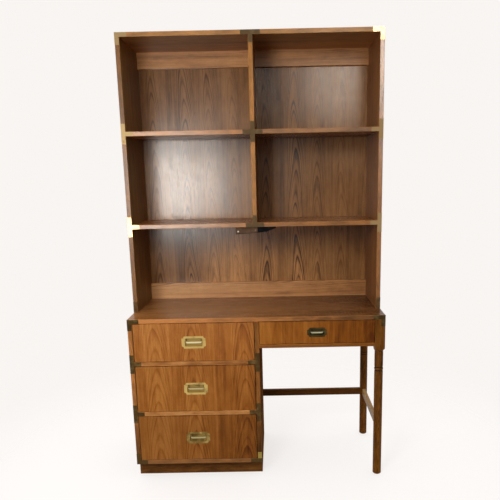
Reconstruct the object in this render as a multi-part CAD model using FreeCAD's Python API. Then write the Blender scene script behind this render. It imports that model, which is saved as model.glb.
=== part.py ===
import FreeCAD
import Part
import math
import os

# Campaign desk with a bookcase hutch.
# Millimetres, +Z up, the front faces -Y, origin on the floor under the middle of the piece.

# Desk carcass
desk_width = 1118.0
desk_depth = 457.0
desk_height = 752.0
panel = 19.0             # tops, sides, shelves, rails and drawer fronts
ply = 6.0                # back panels
housing = 6.0            # how far shelves, rails and dividers are let into their neighbours
rabbet = 8.0             # how far a back panel laps onto its frame
arris = 1.2              # small bevel along the exposed edges

# Drawer pedestal
pedestal_width = 570.0
kick_height = 73.0
kick_recess = 48.0
top_opening = 174.0      # height of the top drawer's opening; the two below share the rest
rail_depth = 60.0        # front to back size of the rails between the drawers
runner_width = 30.0
stop_length = 14.0       # blocks that stop a closed drawer flush with the frame
stop_height = 12.0
guide_height = 24.0      # rib beside the pencil drawer, in line with the leg blocks

# Knee-hole side
pencil_opening = 104.0
pencil_rail = 16.0       # height of the rail under the pencil drawer
apron_setback = 3.0      # aprons stand back from the faces of the leg blocks
leg_block = 44.0         # square block at the head of each leg
leg_block_height = 144.0
leg_diameter = 38.0
foot_bevel = 4.0
shoulder_height = 13.0   # turned shoulder where the square block becomes round
ring_height = 505.0      # middle of the turned ring
ring_pitch = 15.0        # between the two grooves of the ring
groove_half = 2.8        # half the width of a V groove
groove_depth = 2.2
ring_swell = 1.0         # how far the ridge between the grooves stands out
stretcher_height = 34.0
stretcher_thickness = 16.0
stretcher_bottom = 220.0  # above the floor
tenon_length = 12.0
tenon_thickness = 9.0
tenon_shoulder = 6.0     # step between a board's edge and its tenon
cope_gap = 0.15          # between a stretcher's hollowed shoulder and the round leg

# Hutch
hutch_height = 1190.0
hutch_setback = 131.0    # from the desk's front edge to the hutch's front edge
top_back_rail = 73.0     # heights of the boards across the back
bottom_back_rail = 77.0
dowel_diameter = 8.0
dowel_length = 30.0
dowel_in_desk = 14.0
dowel_gap = 0.1

# Brass straps let into the front edges
brass_inlay = 1.0
brass_proud = 0.6
strap_width = 18.0
strap_fold = 16.0        # how far outer straps turn round onto the side
fold_round = 1.4
corner_arm = 50.0
tee_length = 85.0        # upright of the T straps
tee_stem = 50.0
top_tee_width = 82.0
cross_size = 86.0
low_tee_width = 80.0
low_tee_rise = 32.0
foot_strap = 50.0

# Drawers
drawer_gap = 1.5         # above and below the drawer fronts
side_gap = 2.2           # beside the drawers
run_gap = 0.3            # under the drawer sides and behind them at the stops
drawer_side = 12.0       # thickness of the drawer sides and back
drawer_headroom = 24.0   # from the drawer sides up to the top of the opening
drawer_bottom = 5.0
bottom_lift = 10.0       # underside of the drawer bottom above the edge of the sides
bottom_groove = 5.0
back_housing = 4.0
back_inset = 12.0        # drawer back ahead of the ends of the sides
front_lap = 6.0          # wood left ahead of the half-blind dovetails
tail_pitch = 42.0
tail_share = 0.25        # half of a tail's narrow end, as a share of the pitch
tail_angle = 10.0        # degrees

# Pulls: a plate with a recessed cup, and a bail on two pins
pedestal_pull = {"width": 105.0, "height": 55.0, "recess_width": 77.0, "recess_height": 36.0,
                 "bar_height": 8.0, "bar_drop": 13.0, "pivot_rise": 11.0}
pencil_pull = {"width": 86.0, "height": 42.0, "recess_width": 62.0, "recess_height": 27.0,
               "bar_height": 6.0, "bar_drop": 10.5, "pivot_rise": 8.0}
plate_proud = 1.0        # the plates stand further out than the straps
plate_notch = 10.0       # radius of the hollow corners of the plate
recess_round = 6.0
cup_depth = 11.5
cup_wall = 2.5
bail_depth = 6.0         # front to back thickness of the bail
bail_arm = 5.0
bail_sink = 4.2          # pivot line behind the drawer's face
bail_round = 9.0         # outer lower corners of the bail
bail_bevel = 1.2         # bevel round the front of the bail
lug_length = 2.6         # lugs on the cup's side walls that carry the bail's pins
lug_size = 8.0
bail_gap = 0.4
pin_radius = 1.5
pin_clearance = 0.05
pin_into_wall = 1.2
pin_end_gap = 0.2

# Light under the lower shelf
light_left = -86.5       # its ends and its joint, from the middle of the divider
light_joint = 10.5
light_right = 92.5
light_drop = 32.0        # depth below the shelf at the left end, the joint, the belly and the right end
light_joint_drop = 26.0
light_belly_drop = 22.0
light_end_drop = 7.0
light_depth = 34.0
light_setback = 10.0     # behind the shelf's front edge
light_bevel = 2.5

# Planes that the pieces share
half = desk_width / 2
front = (plate_proud - desk_depth) / 2
back = front + desk_depth
frame_top = desk_height - panel
left_in = -half + panel
inner_right = -half + pedestal_width
inner_left = inner_right - panel
carcass_back = back - ply
hutch_front = front + hutch_setback
hutch_top_z = desk_height + hutch_height
bay_height = (hutch_height - 3 * panel) / 3
lower_shelf_z = desk_height + bay_height
upper_shelf_z = lower_shelf_z + panel + bay_height
hutch_ceiling = hutch_top_z - panel
base_z = kick_height + panel
upper_rail_z = frame_top - top_opening - panel
deep_opening = (upper_rail_z - base_z - panel) / 2
lower_rail_z = base_z + deep_opening
pencil_z = frame_top - pencil_opening
apron_z = pencil_z - pencil_rail
leg_x = half - leg_block / 2
block_left = half - leg_block
block_z = frame_top - leg_block_height
front_leg_y = front + leg_block / 2
rear_leg_y = back - leg_block / 2
stop_y = carcass_back - stop_length
pencil_stop_y = back - leg_block - stop_length

nodes = {}


def vec(x, y, z):
    return FreeCAD.Vector(x, y, z)


def block(x, y, z):
    """Box between two limits on each axis."""
    return Part.makeBox(x[1] - x[0], y[1] - y[0], z[1] - z[0], vec(x[0], y[0], z[0]))


def prism(points, along):
    """Flat outline pushed along a vector."""
    corners = [vec(*point) for point in points]
    return Part.Face(Part.makePolygon(corners + corners[:1])).extrude(vec(*along))


def pick_edges(shape, chosen):
    """Edges for which chosen(direction, middle) is true."""
    picked = []
    for edge in shape.Edges:
        first, last = edge.firstVertex().Point, edge.lastVertex().Point
        if len(edge.Vertexes) == 2 and chosen((last - first).normalize(), (first + last) * 0.5):
            picked.append(edge)
    return picked


def ease(shape, radius, chosen):
    """Round the chosen edges."""
    return shape.makeFillet(radius, pick_edges(shape, chosen))


def bevel(shape, size, chosen):
    """Cut the chosen edges off at a slant."""
    return shape.makeChamfer(size, pick_edges(shape, chosen))


def runs_along(direction, axis):
    return abs(abs(direction[axis]) - 1) < 1e-6


def near(value, target):
    return abs(value - target) < 1e-4


def bevel_front(shape, y, axis):
    """Bevel the front edges of a board that run along the given axis."""
    return bevel(shape, arris, lambda d, m: runs_along(d, axis) and near(m.y, y))


def cut_all(shape, others):
    """Cut seats for the pieces that are let into this one."""
    for other in others:
        if shape.BoundBox.intersect(other.BoundBox):
            shape = shape.cut(other)
    return shape


# Brass straps: flat arms on the front edges, and folds round the outer sides

def strap(y_face, arms, side=0, fold_z=None):
    """Arms are pairs of x and z limits; side is -1 or +1 where the strap folds round that side."""
    y = (y_face - brass_proud, y_face + brass_inlay)
    plates = [block(x, y, z) for x, z in arms]
    if side:
        fold_x = sorted((side * (half - brass_inlay), side * (half + brass_proud)))
        plates.append(block(fold_x, (y[0], y_face + strap_fold), fold_z))
    joined = plates[0].multiFuse(plates[1:]).removeSplitter() if len(plates) > 1 else plates[0]
    if not side:
        return joined
    outer = side * (half + brass_proud)
    corner = lambda d, m: runs_along(d, 2) and near(m.x, outer) and near(m.y, y[0])
    return ease(joined, fold_round, corner)


def outer_arm(side, length):
    """x limits of an arm that starts at an outer side."""
    return sorted((side * (half + brass_proud), side * (half - length)))


def edge_band(low):
    """Limits across a strap arm along the edge of a board whose lower or left face is at low."""
    reveal = (panel - strap_width) / 2
    return (low + reveal, low + panel - reveal)


def corner_strap(y_face, side, low, board):
    """L strap; low is the end of its upright arm below the board at the top."""
    z = (low, edge_band(board)[1])
    arms = [(outer_arm(side, strap_width), z), (outer_arm(side, corner_arm), edge_band(board))]
    return strap(y_face, arms, side, z)


def side_tee(y_face, side, board):
    """T strap on an outer side, its stem along a board's edge."""
    middle = board + panel / 2
    z = (middle - tee_length / 2, middle + tee_length / 2)
    arms = [(outer_arm(side, strap_width), z), (outer_arm(side, tee_stem), edge_band(board))]
    return strap(y_face, arms, side, z)


divider_band = edge_band(inner_left)
divider_mid = sum(divider_band) / 2


def centred(middle, length):
    return (middle - length / 2, middle + length / 2)


hutch_corners = []
hutch_tees = []
foot_straps = []
desk_corners = []
rail_tees = []
for side in (-1, 1):
    hutch_corners.append(corner_strap(hutch_front, side, hutch_top_z - corner_arm, hutch_ceiling))
    hutch_tees.append(side_tee(hutch_front, side, lower_shelf_z))
    hutch_tees.append(side_tee(hutch_front, side, upper_shelf_z))
    desk_corners.append(corner_strap(front, side, desk_height - corner_arm, frame_top))
    foot_z = (desk_height, desk_height + foot_strap)
    foot_straps.append(strap(hutch_front, [(outer_arm(side, strap_width), foot_z)], side, foot_z))

top_stem = (hutch_top_z - tee_stem, edge_band(hutch_ceiling)[1])
low_stem = (edge_band(lower_shelf_z)[0], lower_shelf_z + panel + low_tee_rise)
upper_mid = upper_shelf_z + panel / 2
center_straps = [
    strap(hutch_front, [(centred(divider_mid, top_tee_width), edge_band(hutch_ceiling)),
                        (divider_band, top_stem)]),
    strap(hutch_front, [(centred(divider_mid, cross_size), edge_band(upper_shelf_z)),
                        (divider_band, centred(upper_mid, cross_size))]),
    strap(hutch_front, [(centred(divider_mid, low_tee_width), edge_band(lower_shelf_z)),
                        (divider_band, low_stem)]),
]

for rail in (lower_rail_z, upper_rail_z):
    rail_tees.append(side_tee(front, -1, rail))
    upright_z = centred(rail + panel / 2, tee_length)
    stem_x = (divider_band[1] - tee_stem, divider_band[1])
    rail_tees.append(strap(front, [(divider_band, upright_z), (stem_x, edge_band(rail))]))

base_band = edge_band(kick_height)
base_upright = (base_band[0], kick_height + corner_arm)
base_straps = [
    strap(front, [(outer_arm(-1, strap_width), base_upright), (outer_arm(-1, corner_arm), base_band)],
          -1, base_upright),
    strap(front, [(divider_band, base_upright),
                  ((divider_band[1] - corner_arm, divider_band[1]), base_band)]),
]

nodes["hutch_corner_brackets"] = hutch_corners
nodes["hutch_side_tees"] = hutch_tees
nodes["hutch_center_brackets"] = center_straps
nodes["hutch_foot_straps"] = foot_straps
nodes["desk_corner_brackets"] = desk_corners
nodes["desk_rail_tees"] = rail_tees
nodes["desk_base_brackets"] = base_straps
hutch_brass = hutch_corners + hutch_tees + center_straps + foot_straps
desk_brass = desk_corners + rail_tees + base_straps


# Hutch: sides, top, two shelves and a divider housed in each other, and a back panel in rabbets

hutch_back = block((left_in - rabbet, -left_in + rabbet), (carcass_back, back),
                   (desk_height, hutch_ceiling + rabbet))
upper_shelf = bevel_front(block((left_in - housing, -left_in + housing), (hutch_front, carcass_back),
                               (upper_shelf_z, upper_shelf_z + panel)), hutch_front, 0)
lower_shelf = bevel_front(block((left_in - housing, -left_in + housing), (hutch_front, carcass_back),
                               (lower_shelf_z, lower_shelf_z + panel)), hutch_front, 0)
top_rail = block((left_in, -left_in), (carcass_back - panel, carcass_back),
                 (hutch_ceiling - top_back_rail, hutch_ceiling))
bottom_rail = block((left_in, -left_in), (carcass_back - panel, carcass_back),
                    (desk_height, desk_height + bottom_back_rail))


def divider(low, high):
    """Upright between two boards, housed in both."""
    board = block((inner_left, inner_right), (hutch_front, carcass_back), (low - housing, high + housing))
    return bevel_front(board, hutch_front, 2)


upper_divider = divider(upper_shelf_z + panel, hutch_ceiling)
lower_divider = divider(lower_shelf_z + panel, upper_shelf_z)

dowels = []
dowel_bores = []
dowel_radius = dowel_diameter / 2
for side in (-1, 1):
    foot = vec(side * (half - panel / 2), (hutch_front + back) / 2, desk_height - dowel_in_desk)
    dowels.append(Part.makeCylinder(dowel_radius, dowel_length, foot))
    dowel_bores.append(Part.makeCylinder(dowel_radius + dowel_gap, dowel_length, foot))

hutch_top = block((-half, half), (hutch_front, back), (hutch_ceiling, hutch_top_z))
hutch_top = bevel_front(hutch_top, hutch_front, 0)
nodes["hutch_top"] = cut_all(hutch_top, [upper_divider, hutch_back] + hutch_brass)
for name, side in (("hutch_left_side", -1), ("hutch_right_side", 1)):
    x = sorted((side * half, side * (half - panel)))
    board = bevel_front(block(x, (hutch_front, back), (desk_height, hutch_ceiling)), hutch_front, 2)
    nodes[name] = cut_all(board, [upper_shelf, lower_shelf, hutch_back] + dowel_bores + hutch_brass)
nodes["hutch_upper_shelf"] = cut_all(upper_shelf, [upper_divider, lower_divider] + hutch_brass)
nodes["hutch_lower_shelf"] = cut_all(lower_shelf, [lower_divider] + hutch_brass)
nodes["hutch_upper_divider"] = cut_all(upper_divider, [top_rail] + hutch_brass)
nodes["hutch_lower_divider"] = cut_all(lower_divider, hutch_brass)
nodes["hutch_back_panel"] = hutch_back
nodes["hutch_top_back_rail"] = top_rail
nodes["hutch_bottom_back_rail"] = bottom_rail
nodes["hutch_dowels"] = dowels


# Light under the lower shelf: a tapering bar, and a black end that thins out towards the right

light_y = hutch_front + light_setback
light_x = [divider_mid + offset for offset in (light_left, light_joint, light_right)]


def light_body(underside):
    """Body that hangs from the shelf; underside is its x and drop from the left end to the right."""
    (left, _), (right, _) = underside[0], underside[-1]
    lower = [(x, light_y, lower_shelf_z - drop) for x, drop in underside]
    outline = [(left, light_y, lower_shelf_z)] + lower + [(right, light_y, lower_shelf_z)]
    body = prism(outline, (0, light_depth, 0))
    under = lambda d, m: abs(d.z) < 0.5 and not near(m.z, lower_shelf_z) and not runs_along(d, 1)
    return bevel(body, light_bevel, under)


nodes["shelf_light_bar"] = light_body([(light_x[0], light_drop), (light_x[1], light_joint_drop)])
belly_x = (light_x[1] + light_x[2]) / 2
nodes["shelf_light_housing"] = light_body([(light_x[1], light_joint_drop), (belly_x, light_belly_drop),
                                           (light_x[2], light_end_drop)])


# Legs: square block, sloping shoulder, then a round shaft with a ridged ring between two grooves

shaft_radius = leg_diameter / 2


def turned_leg(y):
    def revolved(*profile):
        corners = [vec(leg_x + radius, y, z) for radius, z in profile]
        outline = Part.Face(Part.makePolygon(corners + corners[:1]))
        return outline.revolve(vec(leg_x, y, 0), vec(0, 0, 1), 360)

    def groove(z):
        low, high = z - groove_half, z + groove_half
        return [(shaft_radius, low), (shaft_radius - groove_depth, z), (shaft_radius, high)]

    foot = [(0, 0), (shaft_radius - foot_bevel, 0), (shaft_radius, foot_bevel)]
    ring = [*groove(ring_height - ring_pitch / 2), (shaft_radius + ring_swell, ring_height),
            *groove(ring_height + ring_pitch / 2)]
    neck = (shaft_radius, block_z)
    shaft = revolved(*foot, *ring, neck, (0, block_z))

    # The block's corners are turned off down to the shaft
    corner = leg_block / math.sqrt(2)
    turned_off = revolved((0, block_z), neck, (corner, block_z + shoulder_height), (corner, frame_top),
                          (0, frame_top))
    head = block((block_left, half), centred(y, leg_block), (block_z, frame_top))
    return head.common(turned_off).fuse(shaft).removeSplitter()


def tenon(x, y, z, axis):
    """Tenon of a board given by its own limits: thinner than the board, with shoulders along its width."""
    limits = [list(x), list(y), list(z)]
    across = {other: limits[other][1] - limits[other][0] for other in range(3) if other != axis}
    thickness = min(across, key=across.get)
    for other, size in across.items():
        step = (size - tenon_thickness) / 2 if other == thickness else tenon_shoulder
        limits[other] = [limits[other][0] + step, limits[other][1] - step]
    return block(*limits)


# Aprons, the rail under the pencil drawer and the stretchers, with their tenons

apron_top = (apron_z, frame_top)
rail_y = (front, front + leg_block)
rail_z = (apron_z, pencil_z)
apron_x = (half - apron_setback - panel, half - apron_setback)
apron_y = (back - apron_setback - panel, back - apron_setback)
stretcher_z = (stretcher_bottom, stretcher_bottom + stretcher_height)
rear_y = centred(rear_leg_y, stretcher_thickness)
side_x = centred(leg_x, stretcher_thickness)
leg_face = shaft_radius + cope_gap

pencil_rail_tenon = tenon((block_left, block_left + tenon_length), rail_y, rail_z, 0)
right_apron_tenons = [tenon(apron_x, (front + leg_block - tenon_length, front + leg_block), apron_top, 1),
                      tenon(apron_x, (back - leg_block, back - leg_block + tenon_length), apron_top, 1)]
rear_apron_tenon = tenon((block_left, block_left + tenon_length), apron_y, apron_top, 0)
rear_stretcher_tenon = tenon((leg_x - leg_face, leg_x - leg_face + tenon_length), rear_y, stretcher_z, 0)
side_stretcher_tenons = [
    tenon(side_x, (front_leg_y + leg_face - tenon_length, front_leg_y + leg_face), stretcher_z, 1),
    tenon(side_x, (rear_leg_y - leg_face, rear_leg_y - leg_face + tenon_length), stretcher_z, 1)]

pencil_rail_board = bevel_front(block((inner_right - housing, block_left), rail_y, rail_z), front, 0)
rear_apron_board = block((inner_right - housing, block_left), apron_y, apron_top)
rear_stretcher_board = block((inner_right - housing, leg_x), rear_y, stretcher_z)
side_stretcher_board = block(side_x, (front_leg_y, rear_leg_y), stretcher_z)


def stretcher(board, legs, tenons):
    """Board bevelled along its length, hollowed at the legs and given its tenons."""
    lengthwise = 0 if board.BoundBox.XLength > board.BoundBox.YLength else 1
    board = bevel(board, arris, lambda d, m: runs_along(d, lengthwise))
    for y in legs:
        board = board.cut(Part.makeCylinder(leg_face, frame_top, vec(leg_x, y, 0)))
    return board.multiFuse(tenons)


rear_stretcher = stretcher(rear_stretcher_board, [rear_leg_y], [rear_stretcher_tenon])
side_stretcher = stretcher(side_stretcher_board, [front_leg_y, rear_leg_y], side_stretcher_tenons)
nodes["pencil_drawer_rail"] = pencil_rail_board.fuse(pencil_rail_tenon)
nodes["right_apron"] = block(apron_x, (front + leg_block, back - leg_block), apron_top).multiFuse(
    right_apron_tenons)
nodes["rear_apron"] = rear_apron_board.fuse(rear_apron_tenon)
nodes["rear_stretcher"] = rear_stretcher
nodes["side_stretcher"] = side_stretcher
nodes["front_leg"] = cut_all(turned_leg(front_leg_y), [
    pencil_rail_tenon, right_apron_tenons[0], side_stretcher_tenons[0]] + desk_brass)
nodes["rear_leg"] = cut_all(turned_leg(rear_leg_y), [
    rear_apron_tenon, right_apron_tenons[1], rear_stretcher_tenon, side_stretcher_tenons[1]])


# Pedestal: notched sides, bottom, rails and a back panel

pedestal_in = (left_in, inner_left)
housed_x = (left_in - housing, inner_left + housing)
pedestal_bottom = bevel_front(block(housed_x, (front, carcass_back), (kick_height, base_z)), front, 0)
lower_rail = bevel_front(block(housed_x, (front, front + rail_depth),
                              (lower_rail_z, lower_rail_z + panel)), front, 0)
upper_rail = bevel_front(block(housed_x, (front, front + rail_depth),
                              (upper_rail_z, upper_rail_z + panel)), front, 0)
pedestal_back = block((left_in - rabbet, inner_left + rabbet), (carcass_back, back),
                      (kick_height, frame_top))


toe_y = (front + kick_recess, front + kick_recess + panel)


def pedestal_side(left):
    """Upright with a notch at its foot for the toe space and the board behind it."""
    outline = [(left, toe_y[1], 0), (left, back, 0), (left, back, frame_top),
               (left, front, frame_top), (left, front, kick_height), (left, toe_y[1], kick_height)]
    return bevel_front(prism(outline, (panel, 0, 0)), front, 2)


let_in = [pedestal_bottom, lower_rail, upper_rail, pedestal_back]
knee_side = [pencil_rail_board, rear_apron_board, rear_stretcher_board]
nodes["pedestal_left_side"] = cut_all(pedestal_side(-half), let_in + desk_brass)
nodes["pedestal_inner_side"] = cut_all(pedestal_side(inner_left), let_in + knee_side + desk_brass)
nodes["pedestal_bottom"] = cut_all(pedestal_bottom, desk_brass)
nodes["lower_drawer_rail"] = cut_all(lower_rail, desk_brass)
nodes["upper_drawer_rail"] = cut_all(upper_rail, desk_brass)
nodes["pedestal_back_panel"] = pedestal_back
nodes["toe_kick"] = block((-half, inner_right), toe_y, (0, kick_height))
nodes["rear_base_board"] = block(pedestal_in, (carcass_back - panel, carcass_back), (0, kick_height))

desk_top = block((-half, half), (front, back), (frame_top, desk_height))
desk_top = bevel(desk_top, arris,
                 lambda d, m: near(m.z, desk_height) or (runs_along(d, 0) and near(m.y, front)))
nodes["desk_top"] = cut_all(desk_top, dowel_bores + desk_brass)


# Runners: strips along the pedestal's sides, each with a stop block at its back end

def runner(x, y, top, thickness, stop_front):
    outline = [(x[0], y[0], top - thickness), (x[0], y[1], top - thickness),
               (x[0], y[1], top + stop_height), (x[0], stop_front, top + stop_height),
               (x[0], stop_front, top), (x[0], y[0], top)]
    return prism(outline, (x[1] - x[0], 0, 0))


left_strip = (left_in, left_in + runner_width)
right_strip = (inner_left - runner_width, inner_left)
strip_y = (front + rail_depth, carcass_back)
nodes["drawer_runners"] = [runner(x, strip_y, rail + panel, panel, stop_y)
                           for rail in (lower_rail_z, upper_rail_z) for x in (left_strip, right_strip)]
nodes["bottom_drawer_stops"] = [block(x, (stop_y, carcass_back), (base_z, base_z + stop_height))
                                for x in (left_strip, right_strip)]

# The pencil drawer's right runner also guides the drawer, in line with the leg blocks
pencil_y = (front + leg_block, back - leg_block)
left_pencil = (inner_right, inner_right + runner_width)
right_pencil = (block_left - runner_width, apron_x[0])
guide = block((block_left, apron_x[0]), pencil_y, (pencil_z, pencil_z + guide_height))
left_runner = runner(left_pencil, pencil_y, pencil_z, pencil_rail, pencil_stop_y)
right_runner = runner(right_pencil, pencil_y, pencil_z, pencil_rail, pencil_stop_y)
nodes["pencil_drawer_runners"] = [left_runner, right_runner.fuse(guide).removeSplitter()]


# Pulls

def notched_plate(x, z, thickness):
    """Plate with hollow quarter-round corners, its back at y = thickness."""
    plate = block(x, (0, thickness), z)
    for corner_x in x:
        for corner_z in z:
            hollow = Part.makeCylinder(plate_notch, thickness, vec(corner_x, 0, corner_z), vec(0, 1, 0))
            plate = plate.cut(hollow)
    return plate


def make_pull(sizes, x_mid, z_mid):
    """Plate and cup in one casting, the whole room that they need in the wood, and the bail."""
    face = front - plate_proud
    recess_x = centred(x_mid, sizes["recess_width"])
    recess_z = centred(z_mid, sizes["recess_height"])
    plate = notched_plate(centred(x_mid, sizes["width"]), centred(z_mid, sizes["height"]),
                          plate_proud + brass_inlay)
    cup_x = (recess_x[0] - cup_wall, recess_x[1] + cup_wall)
    cup_z = (recess_z[0] - cup_wall, recess_z[1] + cup_wall)
    cup = block(cup_x, (0, plate_proud + cup_depth + cup_wall), cup_z)
    hollow = block(recess_x, (0, plate_proud + cup_depth), recess_z)
    hollow = ease(hollow, recess_round, lambda d, m: runs_along(d, 1))
    room = plate.fuse(cup)
    room.translate(vec(0, face, 0))
    hollow.translate(vec(0, face, 0))

    pivot_y = front + bail_sink
    pivot_z = z_mid + sizes["pivot_rise"]
    casting = room.cut(hollow)
    arm_out = sizes["recess_width"] / 2 - lug_length - bail_gap
    bar_mid = pivot_z - sizes["bar_drop"]
    bar_low = bar_mid - sizes["bar_height"] / 2
    bar_high = bar_mid + sizes["bar_height"] / 2
    y = centred(pivot_y, bail_depth)
    bail_top = pivot_z + bail_depth / 2
    bail = block((x_mid - arm_out, x_mid + arm_out), y, (bar_low, bail_top))
    bail = ease(bail, bail_round, lambda d, m: runs_along(d, 1) and near(m.z, bar_low))
    gap_x = (x_mid - arm_out + bail_arm, x_mid + arm_out - bail_arm)
    bail = bail.cut(block(gap_x, y, (bar_high, bail_top)))
    bail = bevel(bail, bail_bevel, lambda d, m: near(m.y, y[0]))

    pin_length = bail_gap + lug_length + pin_into_wall
    for side in (-1, 1):
        wall = x_mid + side * sizes["recess_width"] / 2
        lug_x = sorted((wall, wall - side * lug_length))
        casting = casting.fuse(block(lug_x, centred(pivot_y, lug_size), centred(pivot_z, lug_size)))
        arm = vec(x_mid + side * arm_out, pivot_y, pivot_z)
        outward = vec(side, 0, 0)
        bore = Part.makeCylinder(pin_radius + pin_clearance, pin_length + pin_end_gap, arm, outward)
        casting = casting.cut(bore)
        bail = bail.fuse(Part.makeCylinder(pin_radius, pin_length, arm, outward))
    return casting.removeSplitter(), room, bail


# Drawers: dovetailed sides, a back housed between them and a bottom in grooves

def dovetails(x, joint_y, z):
    """Tails at the front end of a drawer side, wider towards the drawer's face."""
    length = panel - front_lap
    count = max(2, round((z[1] - z[0]) / tail_pitch))
    pitch = (z[1] - z[0]) / count
    narrow = tail_share * pitch
    wide = narrow + length * math.tan(math.radians(tail_angle))
    tails = []
    for index in range(count):
        middle = z[0] + (index + 0.5) * pitch
        outline = [(x[0], joint_y, middle - narrow), (x[0], joint_y - length, middle - wide),
                   (x[0], joint_y - length, middle + wide), (x[0], joint_y, middle + narrow)]
        tails.append(prism(outline, (x[1] - x[0], 0, 0)))
    return tails


def make_drawer(name, x, z, rear_y, pull):
    """x and z are the limits of the opening; the sides end at rear_y."""
    joint_y = front + panel
    face_x = (x[0] + side_gap, x[1] - side_gap)
    face_z = (z[0] + drawer_gap, z[1] - drawer_gap)
    face = bevel(block(face_x, (front, joint_y), face_z), arris, lambda d, m: near(m.y, front))
    casting, room, bail = make_pull(pull, sum(x) / 2, sum(z) / 2)

    side_z = (z[0] + run_gap, z[1] - drawer_headroom)
    left = (face_x[0], face_x[0] + drawer_side)
    right = (face_x[1] - drawer_side, face_x[1])
    back_y = (rear_y - back_inset - drawer_side, rear_y - back_inset)
    floor_z = (side_z[0] + bottom_lift, side_z[0] + bottom_lift + drawer_bottom)
    floor = block((left[1] - bottom_groove, right[0] + bottom_groove),
                  (joint_y - bottom_groove, back_y[1]), floor_z)
    rear = block((left[1] - back_housing, right[0] + back_housing), back_y, (floor_z[1], side_z[1]))
    boards = [rear]
    face = cut_all(face, [room, floor])
    for side_x in (left, right):
        tails = dovetails(side_x, joint_y, side_z)
        board = block(side_x, (joint_y, rear_y), side_z).multiFuse(tails).removeSplitter()
        boards.append(cut_all(board, [floor, rear]))
        face = cut_all(face, tails)
    nodes[name + "_front"] = face
    nodes[name + "_box"] = boards
    nodes[name + "_bottom"] = floor
    nodes[name + "_pull_plate"] = casting
    nodes[name + "_bail"] = bail


pedestal_openings = {"top_drawer": (upper_rail_z + panel, frame_top),
                     "middle_drawer": (lower_rail_z + panel, upper_rail_z),
                     "bottom_drawer": (base_z, lower_rail_z)}
for name, opening_z in pedestal_openings.items():
    make_drawer(name, pedestal_in, opening_z, stop_y - run_gap, pedestal_pull)
pencil_x = (inner_right, block_left)
make_drawer("pencil_drawer", pencil_x, (pencil_z, frame_top), pencil_stop_y - run_gap, pencil_pull)


os.makedirs("parts", exist_ok=True)
for name, shape in nodes.items():
    if isinstance(shape, list):
        shape = Part.makeCompound(shape)
    shape.exportStep("parts/" + name + ".step")
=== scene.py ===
import bmesh
import bpy
import math
from mathutils import Matrix, Vector


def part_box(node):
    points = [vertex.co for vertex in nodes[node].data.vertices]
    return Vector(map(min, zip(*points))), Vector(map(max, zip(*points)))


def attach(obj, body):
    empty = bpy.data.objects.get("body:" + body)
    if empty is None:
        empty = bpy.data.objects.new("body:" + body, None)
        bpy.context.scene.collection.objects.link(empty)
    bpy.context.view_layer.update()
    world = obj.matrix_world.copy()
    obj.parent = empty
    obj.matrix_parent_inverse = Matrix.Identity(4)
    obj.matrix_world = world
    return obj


# Campaign desk with a bookcase hutch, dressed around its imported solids.
# Metres, +Z up, the front faces -Y, origin on the floor under the middle of the piece.
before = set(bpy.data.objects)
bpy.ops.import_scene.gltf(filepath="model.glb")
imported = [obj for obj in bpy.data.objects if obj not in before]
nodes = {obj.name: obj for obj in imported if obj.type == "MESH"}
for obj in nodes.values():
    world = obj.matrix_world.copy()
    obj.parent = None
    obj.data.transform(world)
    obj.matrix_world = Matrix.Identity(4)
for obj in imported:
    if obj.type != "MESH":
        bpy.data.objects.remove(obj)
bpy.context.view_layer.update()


# Drawer pedestal: veneered boards housed in each other, with a paler strip of solid wood glued to
# each front edge. Stained walnut under a satin lacquer that is rubbed pale along the corners.

X, Y, Z = 0, 1, 2


def stain(red, green, blue):
    """A colour written as on a screen, as the linear values that a shader takes."""
    linear = []
    for part in (red, green, blue):
        linear.append(part / 255 / 12.92 if part <= 10 else ((part / 255 + 0.055) / 1.055) ** 2.4)
    return (*linear, 1.0)


def toned(colour, share):
    """A colour made darker or lighter by a share."""
    return stain(*[min(255, part * share) for part in colour])


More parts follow.
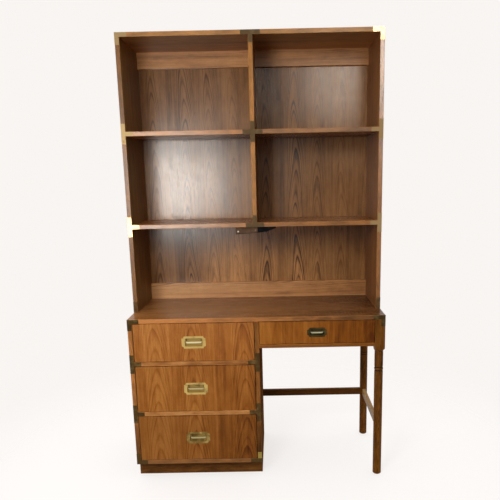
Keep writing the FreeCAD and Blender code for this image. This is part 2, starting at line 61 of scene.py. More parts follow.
class Shade:
    """One output of a node in a material; a sum written with it adds Math nodes."""

    def __init__(self, tree, socket):
        self.tree = tree
        self.socket = socket

    def make(self, kind, settings, sockets, output=0):
        """Any node, with its settings first and then a value or a link for each socket."""
        made = self.tree.nodes.new(kind)
        for key, value in settings.items():
            if key == "stops":
                elements = made.color_ramp.elements
                elements.remove(elements[1])
                elements[0].position = value[0][0]
                for stop in value[1:]:
                    elements.new(stop[0])
                for element, stop in zip(elements, value):
                    element.color = stop[1]
            else:
                setattr(made, key, value)
        for key, value in sockets.items():
            if isinstance(value, Shade):
                self.tree.links.new(value.socket, made.inputs[key])
            else:
                made.inputs[key].default_value = value
        return Shade(self.tree, made.outputs[output])

    def calc(self, operation, first, second=0.0):
        return self.make("ShaderNodeMath", {"operation": operation}, {0: first, 1: second})

    def __add__(self, other):
        return self.calc("ADD", self, other)

    __radd__ = __add__

    def __sub__(self, other):
        return self.calc("SUBTRACT", self, other)

    def __rsub__(self, other):
        return self.calc("SUBTRACT", other, self)

    def __mul__(self, other):
        return self.calc("MULTIPLY", self, other)

    __rmul__ = __mul__

    def __truediv__(self, other):
        return self.calc("DIVIDE", self, other)

    def __abs__(self):
        return self.calc("ABSOLUTE", self)

    def least(self, other):
        return self.calc("MINIMUM", self, other)

    def most(self, other):
        return self.calc("MAXIMUM", self, other)

    def fade(self, start, end):
        """0 below start, 1 above end, smooth between."""
        return self.make("ShaderNodeMapRange", {"interpolation_type": "SMOOTHSTEP"},
                         {"Value": self, "From Min": start, "From Max": end})

    def ramp(self, stops):
        return self.make("ShaderNodeValToRGB", {"stops": stops}, {"Fac": self})

    def mix(self, first, second, way="MIX"):
        """The first colour where this mask is 0 and the second where it is 1."""
        return self.make("ShaderNodeMix", {"data_type": "RGBA", "blend_type": way},
                         {0: self, 6: first, 7: second}, output=2)

    def split(self):
        """The three parts of a vector or colour."""
        parts = self.make("ShaderNodeSeparateXYZ", {}, {0: self})
        return [Shade(self.tree, output) for output in parts.socket.node.outputs]

    def cloud(self, parts, scales, offset, detail=3.0, rough=0.55):
        """Noise about 0.5 that is stretched by its scales along the three parts of a place."""
        scaled = [part * scale for part, scale in zip(parts, scales)]
        spot = self.make("ShaderNodeCombineXYZ", {},
                         {0: scaled[0], 1: scaled[1], 2: scaled[2] + offset})
        return self.make("ShaderNodeTexNoise", {"noise_dimensions": "3D"},
                         {"Vector": spot, "Scale": 1.0, "Detail": detail, "Roughness": rough})

    def into(self, shader, socket):
        self.tree.links.new(self.socket, shader.inputs[socket])

    def bump(self, shader, strength, depth):
        """Use this value as the height of the surface."""
        raised = self.make("ShaderNodeBump", {},
                           {"Strength": strength, "Distance": depth, "Height": self})
        raised.into(shader, "Normal")


def new_finish(name):
    """An empty material, its surface shader, and the place on the object."""
    finish = bpy.data.materials.new(name)
    finish.use_nodes = True
    tree = finish.node_tree
    shader = tree.nodes["Principled BSDF"]
    place = Shade(tree, tree.nodes.new("ShaderNodeTexCoord").outputs["Object"])
    return finish, shader, place


def edge_nearness(parts, box):
    """How far a spot on a board is from the board's nearest corner edge."""
    gaps = [(part - low).least(high - part) for part, low, high in zip(parts, *box)]
    return gaps[0].least(gaps[1]).most(gaps[0].most(gaps[1]).least(gaps[2]))


def veneer(node, along, across, tones, seed, leaf=0.16, arch=(0.028, 0.1), gap=0.06, line=0.6,
           figure=0.4, hearts=None, streaks=0.8, mottling=0.5, polish=0.36, shine=0.12, lip=None,
           raw_back=None, dark_bands=(), right_shade=0.0, shaded_foot=None, shaded_edges=False, painted_glow=None):
    """Finish a board: nested arches in leaves across it, fibre and pores along it, rubbed corners.

    tones are its dark, middle and light colours. arch is half of an arch's width and how far it
    falls over that width, gap the way between the tips of two arches, line the dark share of it,
    and hearts the middle of each leaf's arches as a share of the leaf. figure, streaks and mottling
    are how strong the arches, the streaks and the clouds are. lip is the colour of the strip on
    the front edge, raw_back that of a back without stain, and dark_bands lists the height and half
    width of dark bands, some of them a painted shadow. right_shade is how much darker the right end
    is painted than the left, a painted fall-off of the light, and shaded_foot the heights between
    which the strip is painted darker towards the floor, as painted shade. Corners are rubbed pale,
    or darkened with a painted shadow of the gaps round them where shaded_edges says so. painted_glow
    is a rule that gives from x and the height how much a painted pool of light lifts the colour."""
    finish, shader, place = new_finish(node + "_finish")
    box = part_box(node)
    parts = place.split()
    u, v, w = [parts[axis] for axis in (across, along, 3 - across - along)]
    dark, middle, light = [stain(*colour) for colour in tones]

    leaf_count = (u - box[0][across]) / leaf
    leaf_index = leaf_count.calc("FLOOR", leaf_count)
    luck = place.make("ShaderNodeTexWhiteNoise", {"noise_dimensions": "1D"},
                      {"W": leaf_index + seed}, output="Color").split()
    if hearts:
        heart_share = sum(leaf_index.calc("COMPARE", leaf_index, index) * share
                          for index, share in enumerate(hearts))
    else:
        heart_share = luck[0] * 0.4 + 0.3
        figure = (luck[0] * 1.1 + 0.45) * figure
    drift = place.cloud((u, v, w), (1.0, 2.2, 1.0), seed + luck[1] * 9, detail=1.0)
    off_heart = abs((leaf_count - leaf_index - heart_share) * leaf + (drift - 0.5) * 0.05)
    half_width, fall = arch
    sway = place.cloud((u, v, w), (0.4 / half_width, 5.0, 26.0), seed, detail=2.0)
    off = off_heart / half_width
    rise = v + luck[1] + off.calc("POWER", off, 1.8) * fall
    growth = (rise + (sway - 0.5) * 0.05) / gap
    uneven = place.make("ShaderNodeTexNoise", {"noise_dimensions": "1D"},
                        {"W": growth * 0.8 + seed, "Scale": 1.0, "Detail": 1.0})
    growth = growth + uneven
    year = growth.calc("FLOOR", growth)
    strength = place.make("ShaderNodeTexWhiteNoise", {"noise_dimensions": "1D"},
                          {"W": year + seed * 7})
    depths = ((0.0, 0.4), (0.1, 0.0), (1 - line, 0.1), (0.9, 1.0), (1.0, 0.4))
    band = (growth - year).ramp([(spot, (depth,) * 3 + (1,)) for spot, depth in depths])
    straight = off.fade(1.0, 2.6)
    ring = straight.mix(band * (0.45 + strength * 0.55), (0.3, 0.3, 0.3, 1.0)).split()[0]

    streak = place.cloud((u, v, w), (60.0, 1.6, 60.0), seed + 3, detail=4.0, rough=0.6)
    fine = place.cloud((u, v, w), (300.0, 5.0, 300.0), seed + 13, detail=3.0, rough=0.6)
    broad = place.cloud((u, v, w), (6.0, 2.0, 6.0), seed + 5, detail=2.0)
    mottle = place.cloud((u, v, w), (45.0, 16.0, 45.0), seed + 9, detail=3.0)
    fibre = place.cloud((u, v, w), (900.0, 16.0, 900.0), seed + 7, detail=2.0)
    pores = place.cloud((u, v, w), (1500.0, 60.0, 1500.0), seed + 11, detail=1.0).fade(0.58, 0.68)
    tone = (0.55 + (streak - 0.5) * streaks + (fine - 0.5) * 0.6 + (broad - 0.5) * 0.8
            + (mottle - 0.5) * mottling + (fibre - 0.5) * 0.3 + (luck[2] - 0.5) * 0.25
            - (ring - 0.3) * figure)
    # Painted fall-off of the light: the board is made darker towards its right end.
    painted_falloff = ((parts[X] - box[0][X]) / (box[1][X] - box[0][X]) - 0.5) * right_shade
    colour = (tone - painted_falloff).ramp([(0.0, dark), (0.5, middle), (1.0, light)])
    # A painted pool of light lifts the colour where the rule says.
    if painted_glow:
        glow_lift = (1.85, 2.0, 2.3, 1.0)
        colour = painted_glow(parts[X], parts[Z]).mix(colour, glow_lift, "MULTIPLY")
    if lip:
        strip_tone = mottle * 0.6 + fine * 0.3 + fibre * 0.1 - painted_falloff
        # Painted shade: the strip is made darker towards the floor.
        if shaded_foot:
            foot_shade = 0.36
            strip_tone = strip_tone - (1 - parts[Z].fade(*shaded_foot)) * foot_shade
        strip_shares = ((0.1, 0.55), (0.3, 0.75), (0.7, 1.18))
        strip = strip_tone.ramp([(spot, toned(lip, share)) for spot, share in strip_shares])
        lip_thickness = 0.005
        joint_blur = 0.0002
        joint = box[0][Y] + lip_thickness
        colour = parts[Y].fade(joint - joint_blur, joint + joint_blur).mix(strip, colour)
    if raw_back:
        raw_shares = ((0.0, 0.6), (0.5, 1.0), (1.0, 1.2))
        raw = tone.ramp([(spot, toned(raw_back, share)) for spot, share in raw_shares])
        stain_end, raw_start = box[1][Y] - 0.0012, box[1][Y] - 0.0008
        colour = parts[Y].fade(stain_end, raw_start).mix(colour, raw)
    # A dark colour for painted shade along corners and in bands, and for darker grooves.
    grime_and_shade = toned(tones[0], 0.5)
    bare, whole = 0.0004, 0.0022
    to_corner = edge_nearness(parts, box) + (sway - 0.5) * 0.004 + (streak - 0.5) * 0.002
    edge_wear_and_shade = 1 - to_corner.fade(bare, whole)
    # On drawer fronts the corners are darkened instead, a painted shadow of the gaps round them.
    if shaded_edges:
        colour = (edge_wear_and_shade * 0.7).mix(colour, grime_and_shade)
    else:
        colour = (edge_wear_and_shade * 0.4).mix(colour, toned(tones[2], 1.1))
    colour = (pores * 0.3).mix(colour, dark)
    # Dark bands round the board: a painted shadow under the overhang on the base boards, darker
    # grooves and lines on the legs.
    for level, band_half_width in dark_bands:
        in_band = 1 - abs(parts[Z] - level).fade(0.4 * band_half_width, 1.2 * band_half_width)
        colour = (in_band * 0.8).mix(colour, grime_and_shade)
    colour.into(shader, "Base Color")
    rough = polish + (fibre - 0.5) * 0.1 + pores * 0.12 + edge_wear_and_shade * 0.1 + (broad - 0.5) * 0.15
    rough.into(shader, "Roughness")
    shader.inputs["Specular IOR Level"].default_value = shine
    (fibre * 0.5 + ring * 0.3 - pores).bump(shader, strength=0.2, depth=0.0003)
    dress(node, finish)


def dress(node, finish):
    """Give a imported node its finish."""
    nodes[node].data.materials.clear()
    nodes[node].data.materials.append(finish)


board_tones = ((58, 30, 12), (124, 78, 42), (160, 106, 62))
side_lips = {"pedestal_left_side": (194, 128, 72), "pedestal_inner_side": (152, 98, 50)}
# The side lips are painted darker towards the floor, as painted shade.
for seed, (node, lip) in enumerate(side_lips.items()):
    veneer(node, Z, Y, board_tones, seed, shine=0.0, lip=lip, shaded_foot=(0.1, 0.36))
veneer("pedestal_bottom", X, Y, board_tones, 2, lip=(152, 101, 53))
rail_tones = ((112, 64, 26), (184, 120, 64), (220, 158, 94))
for seed, node in enumerate(("lower_drawer_rail", "upper_drawer_rail")):
    veneer(node, X, Z, rail_tones, 3 + seed, figure=0.15, mottling=1.5, shine=0.06)
base_tones = ((44, 24, 8), (113, 70, 29), (144, 94, 43))
# The dark band along the top of each base board is a painted shadow of the overhang above it.
for seed, node in enumerate(("toe_kick", "rear_base_board")):
    overhang_shadow = (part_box(node)[1][Z], 0.014)
    veneer(node, X, Z, base_tones, 5 + seed, mottling=1.2, shine=0.05, dark_bands=[overhang_shadow])
raw_ply = (150, 116, 80)
veneer("pedestal_back_panel", Z, X, board_tones, 7, polish=0.55, raw_back=raw_ply)
secondary_tones = ((150, 116, 76), (188, 154, 108), (212, 184, 140))
for seed, node in enumerate(("drawer_runners", "bottom_drawer_stops", "pencil_drawer_runners")):
    veneer(node, Y, X, secondary_tones, 8 + seed, leaf=0.4, figure=0.2, polish=0.6)


# Legs, aprons and stretchers: turned and planed from solid wood stained darker than the boards,
# tenoned together. The two grooves of each leg's turned ring are darker, and two faint dark lines
# go round the rear leg below it. The side stretcher is painted lighter, as painted light, and the
# rear stretcher darker, as painted shade.

leg_tones = ((48, 24, 6), (115, 69, 20), (149, 94, 36))
ring_grooves = [(0.4975, 0.0028), (0.5125, 0.0028)]
faint_lines = [(0.441, 0.0026), (0.4525, 0.0026)]
leg_lines = {"front_leg": ring_grooves, "rear_leg": ring_grooves + faint_lines}
for seed, (node, lines) in enumerate(leg_lines.items()):
    veneer(node, Z, X, leg_tones, 20 + seed, leaf=0.4, hearts=(0.055,), arch=(0.012, 0.1), gap=0.05,
           figure=0.45, streaks=1.3, mottling=0.9, shine=0.05, dark_bands=lines)
# The side stretcher is painted lighter, as painted light, and the rear stretcher darker, as painted
# shade.
rear_stretcher_shaded_tones = ((40, 20, 6), (94, 56, 20), (124, 78, 33))
veneer("rear_stretcher", X, Z, rear_stretcher_shaded_tones, 22, leaf=0.4, figure=0.2, shine=0.03)
side_stretcher_lit_tones = ((96, 67, 36), (154, 119, 76), (180, 146, 100))
veneer("side_stretcher", Y, Z, side_stretcher_lit_tones, 23, leaf=0.4, figure=0.2, shine=0.05)
pencil_rail_tones = ((84, 44, 12), (140, 84, 30), (172, 110, 48))
veneer("pencil_drawer_rail", X, Z, pencil_rail_tones, 24, leaf=0.4, figure=0.2, shine=0.06)
veneer("right_apron", Y, Z, board_tones, 25)
veneer("rear_apron", X, Z, board_tones, 26)


# Desk top: one veneered panel with its grain from end to end and a strip of solid wood along the
# front edge. It is polished more than the uprights, so it mirrors what stands on it.

desk_top_tones = ((58, 33, 12), (131, 83, 44), (162, 109, 59))
long_arch = (0.02, 0.4)
long_gap = 0.2
# The right end of the desk top is painted darker, a painted fall-off of the light.
veneer("desk_top", X, Y, desk_top_tones, 30, leaf=0.23, arch=long_arch, gap=long_gap, polish=0.26,
       lip=(182, 119, 65), right_shade=0.65)


# Hutch: sides, top, shelves and dividers housed in each other, with pale lipped front edges, and
# a board across the back at the top and the bottom. The back is veneered ply in leaves with
# pointed arches, painted lighter in the middle over the desk as a painted pool of light.

hutch_tones = ((64, 34, 13), (138, 88, 47), (176, 118, 68))
hutch_lip = (168, 113, 64)
left_side_tones = ((64, 38, 14), (138, 98, 50), (176, 131, 72))
veneer("hutch_left_side", Z, Y, left_side_tones, 40, shine=0.08, lip=(140, 96, 55))
veneer("hutch_right_side", Z, Y, hutch_tones, 41, lip=hutch_lip)
for seed, node in enumerate(("hutch_upper_divider", "hutch_lower_divider")):
    veneer(node, Z, Y, hutch_tones, 42 + seed, shine=0.05, lip=(184, 125, 64))
hutch_top_tones = ((77, 43, 17), (166, 112, 59), (205, 148, 84))
veneer("hutch_top", X, Y, hutch_top_tones, 45, arch=long_arch, gap=long_gap, lip=(184, 130, 72))
# The upper shelf's right end is painted darker, a painted fall-off of the light.
shelf_right_shade = {"hutch_upper_shelf": 0.35, "hutch_lower_shelf": 0.0}
for seed, (node, right_shade) in enumerate(shelf_right_shade.items()):
    veneer(node, X, Y, hutch_tones, 46 + seed, arch=long_arch, gap=long_gap, polish=0.26,
           lip=hutch_lip, right_shade=right_shade)
# The right ends of the back rails are painted darker, a painted fall-off of the light.
back_rail_tones = {"hutch_top_back_rail": ((98, 57, 27), (190, 132, 76), (220, 164, 104)),
                   "hutch_bottom_back_rail": ((102, 60, 28), (190, 132, 77), (218, 164, 104))}
for seed, (node, tones) in enumerate(back_rail_tones.items()):
    veneer(node, X, Z, tones, 50 + seed, leaf=0.4, hearts=(0.2,), arch=(0.02, 0.3), gap=0.09,
           figure=0.7, streaks=1.1, right_shade=0.3)


def over_desk(x, z):
    """Where a painted pool of light lifts the back: 1 in the middle below the lower shelf, 0 towards
    the sides and above.
    """
    shelf_low, shelf_high = [corner[Z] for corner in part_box("hutch_lower_shelf")]
    middle, full_glow_reach, glow_reach_end = 0.03, 0.12, 0.45
    near_middle = 1 - abs(x - middle).fade(full_glow_reach, glow_reach_end)
    return near_middle.least(1 - z.fade(shelf_low, shelf_high))


back_tones = ((47, 24, 7), (126, 83, 42), (166, 117, 67))
# The middle of the back over the desk is painted lighter, a painted pool of light.
veneer("hutch_back_panel", Z, X, back_tones, 53, leaf=0.132, arch=(0.03, 0.2), gap=0.085, line=0.4,
       figure=0.75, streaks=1.2, polish=0.23, raw_back=raw_ply, painted_glow=over_desk)
veneer("hutch_dowels", Z, X, secondary_tones, 54, leaf=0.4, figure=0.1, polish=0.6)


# Drawers: fronts of veneered board cut from one run of leaves, so that the arches line up from
# drawer to drawer, and the pencil drawer's from a plainer leaf. The boxes are pale wood, dovetailed
# and left without stain.

# The fronts are darker from the top drawer down, partly the veneer's own tone and partly painted
# shade, and their right ends are painted darker, a painted fall-off of the light.
front_looks_and_shade = {"top_drawer": (((112, 56, 14), (174, 104, 40), (204, 135, 63)), 0.0),
               "middle_drawer": (((100, 50, 12), (162, 96, 35), (194, 128, 59)), 0.16),
               "bottom_drawer": (((86, 43, 10), (145, 86, 31), (177, 114, 53)), 0.24),
               "pencil_drawer": (((94, 45, 6), (152, 87, 22), (184, 115, 42)), 0.55)}
for seed, (name, (tones, right_shade)) in enumerate(front_looks_and_shade.items()):
    front_seed, figure = (63, 0.15) if name == "pencil_drawer" else (60, 0.5)
    veneer(name + "_front", Z, X, tones, front_seed, leaf=0.1765, hearts=(0.46, 0.45, 0.74),
           arch=(0.034, 0.11), gap=0.08, line=0.45, figure=figure, streaks=1.1, mottling=0.6,
           polish=0.4, shine=0.06, right_shade=right_shade, shaded_edges=True)
    veneer(name + "_box", Y, Z, secondary_tones, 64 + seed, leaf=0.4, figure=0.2, polish=0.6)
    veneer(name + "_bottom", X, Y, secondary_tones, 68 + seed, leaf=0.4, figure=0.3, polish=0.6)


# Brass straps: cut from sheet, let into the front edges and fixed with small round-headed pins.
# Those at the hutch's sides have kept most of their shine; painted shade makes their right tees and
# left corner brackets a deeper brown. The rest have gone brown, but for the top of one base bracket.

def brass(names, bright, dull, tarnish, polish, seed, recess=None, rubbed=None, metal=1.0, dulling=None):
    """Old brass: clouds of brown tarnish over the metal and fine scratches.

    recess is where tarnish in the cup starts and is full behind the face; rubbed is the height up to
    which hands keep a piece bright, and the height from which it is dull; metal is less than 1 under
    old lacquer; dulling is a rule that gives from x and the height how far a piece is made dull, by
    painted shade on some pieces."""
    finish, shader, place = new_finish(names[0] + "_finish")
    parts = place.split()
    cloud = place.cloud(parts, (30.0, 30.0, 30.0), seed, detail=5.0, rough=0.62)
    scratch = place.cloud(parts, (160.0, 900.0, 2400.0), seed + 2, detail=2.0)
    grime_and_shade = (cloud + (scratch - 0.5) * 0.25).fade(0.72 - 0.6 * tarnish, 1.02 - 0.6 * tarnish)
    if recess:
        grime_and_shade = grime_and_shade.most(parts[Y].fade(*recess) * 0.4)
    if rubbed:
        grime_and_shade = grime_and_shade.most(parts[Z].fade(*rubbed))
    if dulling:
        grime_and_shade = grime_and_shade.most(dulling(parts[X], parts[Z]))
    grime_and_shade.mix(stain(*bright), stain(*dull)).into(shader, "Base Color")
    (metal - grime_and_shade * (0.6 * metal)).into(shader, "Metallic")
    shader.inputs["Specular IOR Level"].default_value = 0.12
    (polish + grime_and_shade * 0.25 + (scratch - 0.5) * 0.15).into(shader, "Roughness")
    (scratch * 0.4 + cloud * 0.6).bump(shader, strength=0.12, depth=0.0003)
    for name in names:
        dress(name, finish)
    return finish


to_front = Matrix.Rotation(math.radians(90), 3, "X")


def strap_pins(name, finish, face, spots):
    """Domed pin heads on the face of the straps, one at each x and z: discs stepped inwards."""
    head_radius = 0.0019
    dome_steps = ((0.00005, 0.00012), (0.0005, 0.00014), (0.0006, 0.00008))
    heads = bmesh.new()
    for x, z in spots:
        made = bmesh.ops.create_circle(heads, cap_ends=True, segments=14, radius=head_radius)
        disc = made["verts"]
        bmesh.ops.rotate(heads, verts=disc, cent=(0, 0, 0), matrix=to_front)
        bmesh.ops.translate(heads, verts=disc, vec=(x, face, z))
    bmesh.ops.recalc_face_normals(heads, faces=heads.faces)
    crowns = heads.faces[:]
    turned = [crown for crown in crowns if crown.normal.y > 0]
    bmesh.ops.reverse_faces(heads, faces=turned)
    for inset, height in dome_steps:
        bmesh.ops.inset_individual(heads, faces=crowns, thickness=inset, depth=height)
    data = bpy.data.meshes.new(name)
    heads.to_mesh(data)
    heads.free()
    data.materials.append(finish)
    piece = bpy.data.objects.new(name, data)
    bpy.context.scene.collection.objects.link(piece)
    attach(piece, "desk")


def side_shading(x, z):
    """Painted shade: the tees are made a deeper brown at the right and the corner brackets at the
    left, standing in for the window's light and reflection that fall on the others.
    """
    tees_end, corners_start = 1.74, 1.75
    right_tees = x.fade(0.0, 0.01).least(1 - z.fade(tees_end, corners_start)) * 0.62
    left_corner = (1 - x.fade(-0.01, 0.0)).least(z.fade(tees_end, corners_start)) * 0.4
    return right_tees.most(left_corner)


def base_dulling(x, z):
    """Dull but for the post of the right bracket, above its foot."""
    low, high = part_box("desk_base_brackets")
    bright_x, bright_z, blur = high[X] - 0.02, low[Z] + 0.02, 0.001
    return 1 - x.fade(bright_x - blur, bright_x).least(z.fade(bright_z - blur, bright_z))


# The dulling of the side straps is painted shade.
side_brass = brass(["hutch_corner_brackets", "hutch_side_tees"], (200, 172, 124), (132, 102, 64),
                   tarnish=0.3, polish=0.3, seed=80, dulling=side_shading)
hutch_brown = brass(["hutch_center_brackets"], (132, 111, 80), (108, 87, 60),
                    tarnish=0.8, polish=0.5, seed=81, metal=0.3)
brass(["hutch_foot_straps"], (124, 96, 62), (84, 61, 36),
      tarnish=0.6, polish=0.42, seed=82, metal=0.4)
brass(["desk_corner_brackets"], (106, 88, 50), (70, 53, 25),
      tarnish=0.72, polish=0.42, seed=83, metal=0.3)
desk_brown = brass(["desk_rail_tees"], (122, 98, 57), (82, 61, 30),
                   tarnish=0.72, polish=0.42, seed=83, metal=0.3)
brass(["desk_base_brackets"], (168, 145, 76), (92, 70, 36),
      tarnish=0.4, polish=0.42, seed=84, metal=0.3, dulling=base_dulling)


def mid_height(node):
    """How high the middle of a node is."""
    low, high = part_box(node)
    return (low[Z] + high[Z]) / 2


strap_middle = 0.009
pin_inset = 0.007
bracket_arm = 0.05
tee_half_length = 0.0425
lower_post = 0.032
corner_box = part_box("hutch_corner_brackets")
outer = (corner_box[0][X] + strap_middle, corner_box[1][X] - strap_middle)
arm = bracket_arm - pin_inset
tee_half = tee_half_length - pin_inset
shelf_lines = [mid_height(node) for node in ("hutch_lower_shelf", "hutch_upper_shelf")]
crown = corner_box[1][Z] - strap_middle
side_spots = []
for x, inward in zip(outer, (1, -1)):
    arm_end = x + inward * (arm - strap_middle)
    side_spots += [(x, crown), (arm_end, crown), (x, crown + strap_middle - arm)]
    for line in shelf_lines:
        side_spots += [(x, line - tee_half), (x, line + tee_half), (x, line), (arm_end, line)]
hutch_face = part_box("hutch_side_tees")[0][Y]
strap_pins("hutch_side_strap_pins", side_brass, hutch_face, side_spots)

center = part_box("hutch_center_brackets")
middle_x = (center[0][X] + center[1][X]) / 2
cross_reach = (center[1][X] - center[0][X]) / 2 - pin_inset
top_shorter, lower_shorter = 0.002, 0.003
arm_lines = ((top_shorter, crown), (0.0, shelf_lines[1]), (lower_shorter, shelf_lines[0]))
center_spots = [(middle_x + way * (cross_reach - shorter), line)
                for way in (-1, 1) for shorter, line in arm_lines]
center_spots += [(middle_x, crown), (middle_x, crown + strap_middle - arm)]
center_spots += [(middle_x, shelf_lines[1] + way * cross_reach) for way in (-1, 1)]
center_spots += [(middle_x, shelf_lines[0]),
                 (middle_x, center[0][Z] + lower_post + strap_middle - pin_inset)]
foot_low, foot_high = [corner[Z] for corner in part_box("hutch_foot_straps")]
center_spots += [(x, z) for x in outer for z in (foot_low + pin_inset, foot_high - pin_inset)]
strap_pins("hutch_center_strap_pins", hutch_brown, hutch_face, center_spots)

desk_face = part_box("desk_rail_tees")[0][Y]
inner_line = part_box("desk_rail_tees")[1][X] - strap_middle
desk_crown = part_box("desk_corner_brackets")[1][Z] - strap_middle
desk_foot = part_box("desk_base_brackets")[0][Z] + strap_middle
rail_lines = [mid_height(node) for node in ("lower_drawer_rail", "upper_drawer_rail")]
desk_spots = []
for x, inward in zip(outer, (1, -1)):
    arm_end = x + inward * (arm - strap_middle)
    desk_spots += [(x, desk_crown), (arm_end, desk_crown), (x, desk_crown + strap_middle - arm)]
for x, inward in ((outer[0], 1), (inner_line, -1)):
    arm_end = x + inward * (arm - strap_middle)
    desk_spots += [(x, desk_foot), (arm_end, desk_foot), (x, desk_foot - strap_middle + arm)]
    for line in rail_lines:
        desk_spots += [(x, line - tee_half), (x, line + tee_half), (x, line), (arm_end, line)]
strap_pins("desk_strap_pins", desk_brown, desk_face, desk_spots)


# Pulls: a cast brass plate with hollow corners and a deep cup for the fingers, let into the drawer
# front, and a bail on two pins. Bright where hands have rubbed the rim and the bar, brown in the cup
# and on the bail's arms. The bars are painted darker from the top drawer down, as painted shade,
# and the plates more tarnished, partly as painted shade. The pencil drawer's is dark.

# The bars are painted darker from the top drawer down, as painted shade, and the plates more
# tarnished, partly as painted shade.
shaded_bar_tones = {"top_drawer": (240, 228, 178), "middle_drawer": (200, 182, 130),
             "bottom_drawer": (186, 172, 122)}
plate_tarnish_and_shade = {"top_drawer": 0.35, "middle_drawer": 0.45, "bottom_drawer": 0.75}
for seed, (name, tarnish) in enumerate(plate_tarnish_and_shade.items()):
    plate = name + "_pull_plate"
    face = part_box(plate)[0][Y]
    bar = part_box(name + "_bail")[0][Z]
    brass([plate], (212, 181, 108), (136, 110, 56), tarnish, polish=0.34, seed=86 + seed,
          recess=(face + 0.0015, face + 0.005), metal=0.5)
    brass([name + "_bail"], shaded_bar_tones[name], (144, 118, 62), tarnish=0.1, polish=0.3, seed=90 + seed,
          rubbed=(bar + 0.008, bar + 0.011), metal=0.5)
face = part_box("pencil_drawer_pull_plate")[0][Y]
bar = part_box("pencil_drawer_bail")[0][Z]
brass(["pencil_drawer_pull_plate"], (90, 77, 42), (60, 50, 25), tarnish=0.7, polish=0.4, seed=94,
      recess=(face + 0.001, face + 0.004), metal=0.3)
brass(["pencil_drawer_bail"], (204, 198, 160), (76, 66, 38), tarnish=0.1, polish=0.3, seed=95,
      rubbed=(bar + 0.006, bar + 0.009), metal=0.3)


# Light under the lower shelf: a slim bar of brown metal with two slotted screws in its face, and
# an end moulded in black plastic that tapers away to the right.

brass(["shelf_light_bar"], (120, 94, 72), (96, 73, 56), tarnish=0.7, polish=0.5, seed=97, metal=0.3)


def moulded_black(node):
    """Black plastic with the fine pebble of its mould."""
    finish, shader, place = new_finish(node + "_finish")
    parts = place.split()
    pebble = place.cloud(parts, (1400.0, 1400.0, 1400.0), 1.0, detail=2.0)
    dust = place.cloud(parts, (60.0, 60.0, 60.0), 4.0, detail=4.0).fade(0.5, 0.75)
    (dust * 0.5).mix(stain(14, 14, 16), stain(44, 42, 40)).into(shader, "Base Color")
    (0.45 + pebble * 0.15 + dust * 0.15).into(shader, "Roughness")
    shader.inputs["Specular IOR Level"].default_value = 0.06
    pebble.bump(shader, strength=0.15, depth=0.0002)
    dress(node, finish)


moulded_black("shelf_light_housing")


def slotted_screw(name, spot, across_slot):
    """A round-headed screw facing the front: a dome cut in two by its slot, over a flat disc."""
    head_radius = 0.0036
    head_height = 0.0016
    slot_half = 0.0004
    slot_floor = head_height * 0.35
    screw = bmesh.new()
    for way in (-1, 1):
        dome = bmesh.new()
        bmesh.ops.create_uvsphere(dome, u_segments=20, v_segments=12, radius=head_radius)
        bmesh.ops.scale(dome, vec=(1, 1, head_height / head_radius), verts=dome.verts)
        for plane, outside in (((0, 0, 0), (0, 0, -1)), ((way * slot_half, 0, 0), (-way, 0, 0))):
            whole_dome = dome.verts[:] + dome.edges[:] + dome.faces[:]
            cut = bmesh.ops.bisect_plane(dome, geom=whole_dome, plane_co=plane, plane_no=outside,
                                         clear_outer=True)["geom_cut"]
            rim = [part for part in cut if isinstance(part, bmesh.types.BMEdge)]
            bmesh.ops.holes_fill(dome, edges=rim)
        half = bpy.data.meshes.new("half_head")
        dome.to_mesh(half)
        dome.free()
        screw.from_mesh(half)
        bpy.data.meshes.remove(half)
    made = bmesh.ops.create_circle(screw, cap_ends=True, segments=20, radius=head_radius)
    disc = list({face for vert in made["verts"] for face in vert.link_faces})
    raised = bmesh.ops.extrude_face_region(screw, geom=disc)
    lifted = [part for part in raised["geom"] if isinstance(part, bmesh.types.BMVert)]
    bmesh.ops.translate(screw, verts=lifted, vec=(0, 0, slot_floor))
    bmesh.ops.recalc_face_normals(screw, faces=screw.faces)
    slot_turn = Matrix.Rotation(across_slot, 3, "Z")
    bmesh.ops.rotate(screw, verts=screw.verts, cent=(0, 0, 0), matrix=slot_turn)
    bmesh.ops.rotate(screw, verts=screw.verts, cent=(0, 0, 0), matrix=to_front)
    bmesh.ops.translate(screw, verts=screw.verts, vec=spot)
    data = bpy.data.meshes.new(name)
    screw.to_mesh(data)
    screw.free()
    data.materials.append(screw_finish)
    piece = bpy.data.objects.new(name, data)
    bpy.context.scene.collection.objects.link(piece)
    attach(piece, "desk")


screw_finish, screw_shader, screw_place = new_finish("screw_finish")
screw_parts = screw_place.split()
screw_dust = screw_place.cloud(screw_parts, (500.0, 500.0, 500.0), 2.0, detail=4.0)
bar_low, bar_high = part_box("shelf_light_bar")
# The right screw is made dull all over, the left one bright with spots of dust.
right_half = screw_parts[X].fade(bar_low[X] + 0.02, bar_high[X] - 0.02)
screw_dulling = screw_dust.fade(0.5, 0.75).most(right_half)
screw_dulling.mix(stain(240, 230, 214), stain(128, 116, 102)).into(screw_shader, "Base Color")
(0.4 + screw_dust * 0.2).into(screw_shader, "Roughness")
screw_shader.inputs["Metallic"].default_value = 1.0
left_inset, right_inset = 0.011, 0.009
right_drop, left_drop = 0.0145, 0.005
bar_line = bar_high[Z] - right_drop
left_spot = (bar_low[X] + left_inset, bar_low[Y], bar_line - left_drop)
right_spot = (bar_high[X] - right_inset, bar_low[Y], bar_line)
slotted_screw("shelf_light_left_screw", left_spot, across_slot=0.5)
slotted_screw("shelf_light_right_screw", right_spot, across_slot=1.9)


# Studio: a pale floor that runs out into a warm white backdrop, a window-like softbox left of the
# camera, soft light from above and behind, and cards that light nothing and only show as a shine in
# lacquer and brass.

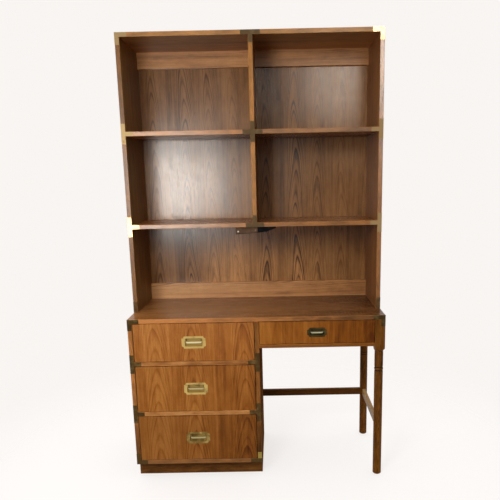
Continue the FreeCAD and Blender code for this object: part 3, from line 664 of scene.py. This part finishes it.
background = stain(249, 245, 242)
floor_size = 30.0
floor_mesh = bmesh.new()
bmesh.ops.create_grid(floor_mesh, x_segments=1, y_segments=1, size=floor_size / 2)
floor_data = bpy.data.meshes.new("studio_floor")
floor_mesh.to_mesh(floor_data)
floor_mesh.free()
floor = bpy.data.objects.new("studio_floor", floor_data)
bpy.context.scene.collection.objects.link(floor)
floor_finish, floor_shader, floor_place = new_finish("studio_floor_finish")
floor_shader.inputs["Base Color"].default_value = stain(147, 148, 150)
floor_shader.inputs["Roughness"].default_value = 0.9
floor_shader.inputs["Specular IOR Level"].default_value = 0.0
floor_parts = floor_place.split()
floor_tree = floor_finish.node_tree


def rays_that_see(tree):
    """1 for a ray by which the camera sees a thing, also in glass or metal."""
    rays = tree.nodes.new("ShaderNodeLightPath")
    direct, through, mirrored = [Shade(tree, rays.outputs[f"Is {kind} Ray"])
                                 for kind in ("Camera", "Transmission", "Glossy")]
    return direct.most(through).most(mirrored)


floor_glow = 0.765
glow = [part * floor_glow for part in background[:3]] + [1]
rays_that_see(floor_tree).mix((0, 0, 0, 1), glow).into(floor_shader, "Emission Color")
floor_shader.inputs["Emission Strength"].default_value = 1.0
run_out_start, run_out_end = 0.8, 1.8
far_off = floor_place.calc("SQRT", floor_parts[X] * floor_parts[X] + floor_parts[Y] * floor_parts[Y])
clear = floor_place.make("ShaderNodeBsdfTransparent", {}, {})
run_out = floor_place.make("ShaderNodeMixShader", {}, {0: far_off.fade(run_out_start, run_out_end)})
floor_tree.links.new(floor_shader.outputs[0], run_out.socket.node.inputs[1])
floor_tree.links.new(clear.socket, run_out.socket.node.inputs[2])
floor_tree.links.new(run_out.socket, floor_tree.nodes["Material Output"].inputs["Surface"])
floor_data.materials.append(floor_finish)

world = bpy.data.worlds.new("studio")
world.use_nodes = True
bpy.context.scene.world = world
world_tree = world.node_tree
world_shade = world_tree.nodes["Background"]
heading = Shade(world_tree, world_tree.nodes.new("ShaderNodeTexCoord").outputs["Generated"]).split()
backdrop_seen = rays_that_see(world_tree)
all_round, from_left, from_behind, from_above = 0.1, 0.09, 0.6, 0.8
sky = (all_round - heading[X] * from_left + heading[Y].most(0.0) * from_behind
       + heading[Z].fade(0.1, 0.6) * from_above)
world_shade.inputs["Color"].default_value = background
(backdrop_seen + (1 - backdrop_seen) * sky).into(world_shade, "Strength")


def softbox(name, place, aim, width, height, brightness, tint, shines_on=None):
    """A rectangular lamp at a place, turned to a point; brightness is what a mirror would show.

    With shines_on it is a card that lights nothing and only shows in the polish of those nodes."""
    lamp = bpy.data.lights.new(name, "AREA")
    lamp.shape = "RECTANGLE"
    lamp.size = width
    lamp.size_y = height
    lamp.energy = brightness * math.pi * width * height
    lamp.color = tint
    holder = bpy.data.objects.new(name, lamp)
    holder.location = place
    holder.rotation_euler = (Vector(aim) - Vector(place)).to_track_quat("-Z", "Y").to_euler()
    holder.visible_camera = False
    holder.visible_diffuse = not shines_on
    holder.visible_glossy = bool(shines_on)
    if shines_on:
        polished = bpy.data.collections.new(name + "_polish")
        for node in shines_on:
            polished.objects.link(nodes[node])
        holder.light_linking.receiver_collection = polished
    bpy.context.scene.collection.objects.link(holder)


daylight = (1.0, 0.96, 0.9)
lamplight = (1.0, 0.9, 0.78)
softbox("window_softbox", (-0.7, -2.15, 1.85), (-0.4, 0.0, 0.6), width=0.7, height=0.8,
        brightness=14.5, tint=daylight)
metal_words = ("brackets", "tees", "straps", "pull_plate", "bail", "light")
lacquered = [node for node in nodes if not any(word in node for word in metal_words)]
card_line = -2.2
softbox("window_card", (-0.81, card_line, 1.29), (-0.6, 0.0, 1.1), width=0.74, height=0.68,
        brightness=108.0, tint=daylight, shines_on=lacquered)
softbox("high_card", (0.7, card_line, 2.18), (0.35, 0.0, 1.4), width=0.48, height=0.6,
        brightness=56.0, tint=lamplight, shines_on=lacquered)
softbox("tee_card", (-1.09, card_line, 0.93), (-0.55, 0.0, 1.14), width=0.3, height=0.2,
        brightness=38.0, tint=daylight, shines_on=["hutch_side_tees"])
softbox("corner_card", (0.94, card_line, 2.44), (0.55, 0.0, 1.93), width=0.3, height=0.3,
        brightness=24.0, tint=daylight, shines_on=["hutch_corner_brackets"])
softbox("edge_card", (0.97, card_line, 2.2), (0.55, 0.0, 1.75), width=0.24, height=0.5,
        brightness=420.0, tint=daylight, shines_on=["hutch_right_side"])

camera_data = bpy.data.cameras.new("photo_camera")
camera_data.lens = 40.448
camera_data.sensor_width = 36.0
camera_data.shift_x = -0.0471
camera_data.shift_y = 0.0854
camera = bpy.data.objects.new("photo_camera", camera_data)
camera.location = (0.0896, -2.5801, 1.3423)
camera.rotation_euler = [math.radians(angle) for angle in (78.405, 1.1346, 0.0473)]
bpy.context.scene.collection.objects.link(camera)
bpy.context.scene.camera = camera
bpy.context.scene.view_settings.view_transform = "Standard"
